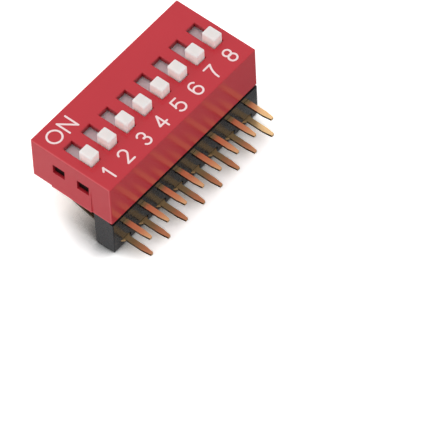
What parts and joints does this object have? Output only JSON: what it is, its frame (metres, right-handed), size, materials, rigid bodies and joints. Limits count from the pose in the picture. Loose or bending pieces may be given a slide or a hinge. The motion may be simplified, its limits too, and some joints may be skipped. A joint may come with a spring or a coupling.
{
  "type": "dip switch",
  "caption": "Right-angle slide DIP switch: red housing with white slide knobs in slots, black spacer bar and two rows of gold board leads bent to one side.",
  "frame": {"origin": "centre of the lead grid, on the spacer's face that seats on the board", "axes": "+X from position 1 to position 8, +Y away from the board to the ON side, +Z out of the slider face"},
  "size_m": [0.0214, 0.0129, 0.0108],
  "materials": {
    "housing_red": "moulded satin",
    "base_black": "moulded",
    "potting_black": "cast resin",
    "spacer_black": "moulded satin",
    "slider_white": "moulded matte",
    "legend_white": "pad printed ink",
    "lead_gold": "gold plated",
    "wiper_bronze": "gold plated"
  },
  "bodies": {
    "switch_body": {"housing": "housing_red", "base": "base_black", "potting": "potting_black", "spacer": "spacer_black", "terminal_inner_1": "lead_gold", "terminal_inner_2": "lead_gold", "terminal_inner_3": "lead_gold", "terminal_inner_4": "lead_gold", "terminal_inner_5": "lead_gold", "terminal_inner_6": "lead_gold", "terminal_inner_7": "lead_gold", "terminal_inner_8": "lead_gold", "terminal_outer_1": "lead_gold", "terminal_outer_2": "lead_gold", "terminal_outer_3": "lead_gold", "terminal_outer_4": "lead_gold", "terminal_outer_5": "lead_gold", "terminal_outer_6": "lead_gold", "terminal_outer_7": "lead_gold", "terminal_outer_8": "lead_gold"},
    "actuator_1": {"slider_1": "slider_white", "wiper_1": "wiper_bronze"},
    "actuator_2": {"slider_2": "slider_white", "wiper_2": "wiper_bronze"},
    "actuator_3": {"slider_3": "slider_white", "wiper_3": "wiper_bronze"},
    "actuator_4": {"slider_4": "slider_white", "wiper_4": "wiper_bronze"},
    "actuator_5": {"slider_5": "slider_white", "wiper_5": "wiper_bronze"},
    "actuator_6": {"slider_6": "slider_white", "wiper_6": "wiper_bronze"},
    "actuator_7": {"slider_7": "slider_white", "wiper_7": "wiper_bronze"},
    "actuator_8": {"slider_8": "slider_white", "wiper_8": "wiper_bronze"}
  },
  "joints": [
    {"name": "slide_1", "type": "slide", "parent": "switch_body", "child": "actuator_1", "axis": [0, 1, 0], "range_m": [0, 0.0019]},
    {"name": "slide_2", "type": "slide", "parent": "switch_body", "child": "actuator_2", "axis": [0, 1, 0], "range_m": [0, 0.0019]},
    {"name": "slide_3", "type": "slide", "parent": "switch_body", "child": "actuator_3", "axis": [0, 1, 0], "range_m": [0, 0.0019]},
    {"name": "slide_4", "type": "slide", "parent": "switch_body", "child": "actuator_4", "axis": [0, 1, 0], "range_m": [0, 0.0019]},
    {"name": "slide_5", "type": "slide", "parent": "switch_body", "child": "actuator_5", "axis": [0, 1, 0], "range_m": [0, 0.0019]},
    {"name": "slide_6", "type": "slide", "parent": "switch_body", "child": "actuator_6", "axis": [0, 1, 0], "range_m": [0, 0.0019]},
    {"name": "slide_7", "type": "slide", "parent": "switch_body", "child": "actuator_7", "axis": [0, 1, 0], "range_m": [0, 0.0019]},
    {"name": "slide_8", "type": "slide", "parent": "switch_body", "child": "actuator_8", "axis": [0, 1, 0], "range_m": [0, 0.0019]}
  ]
}
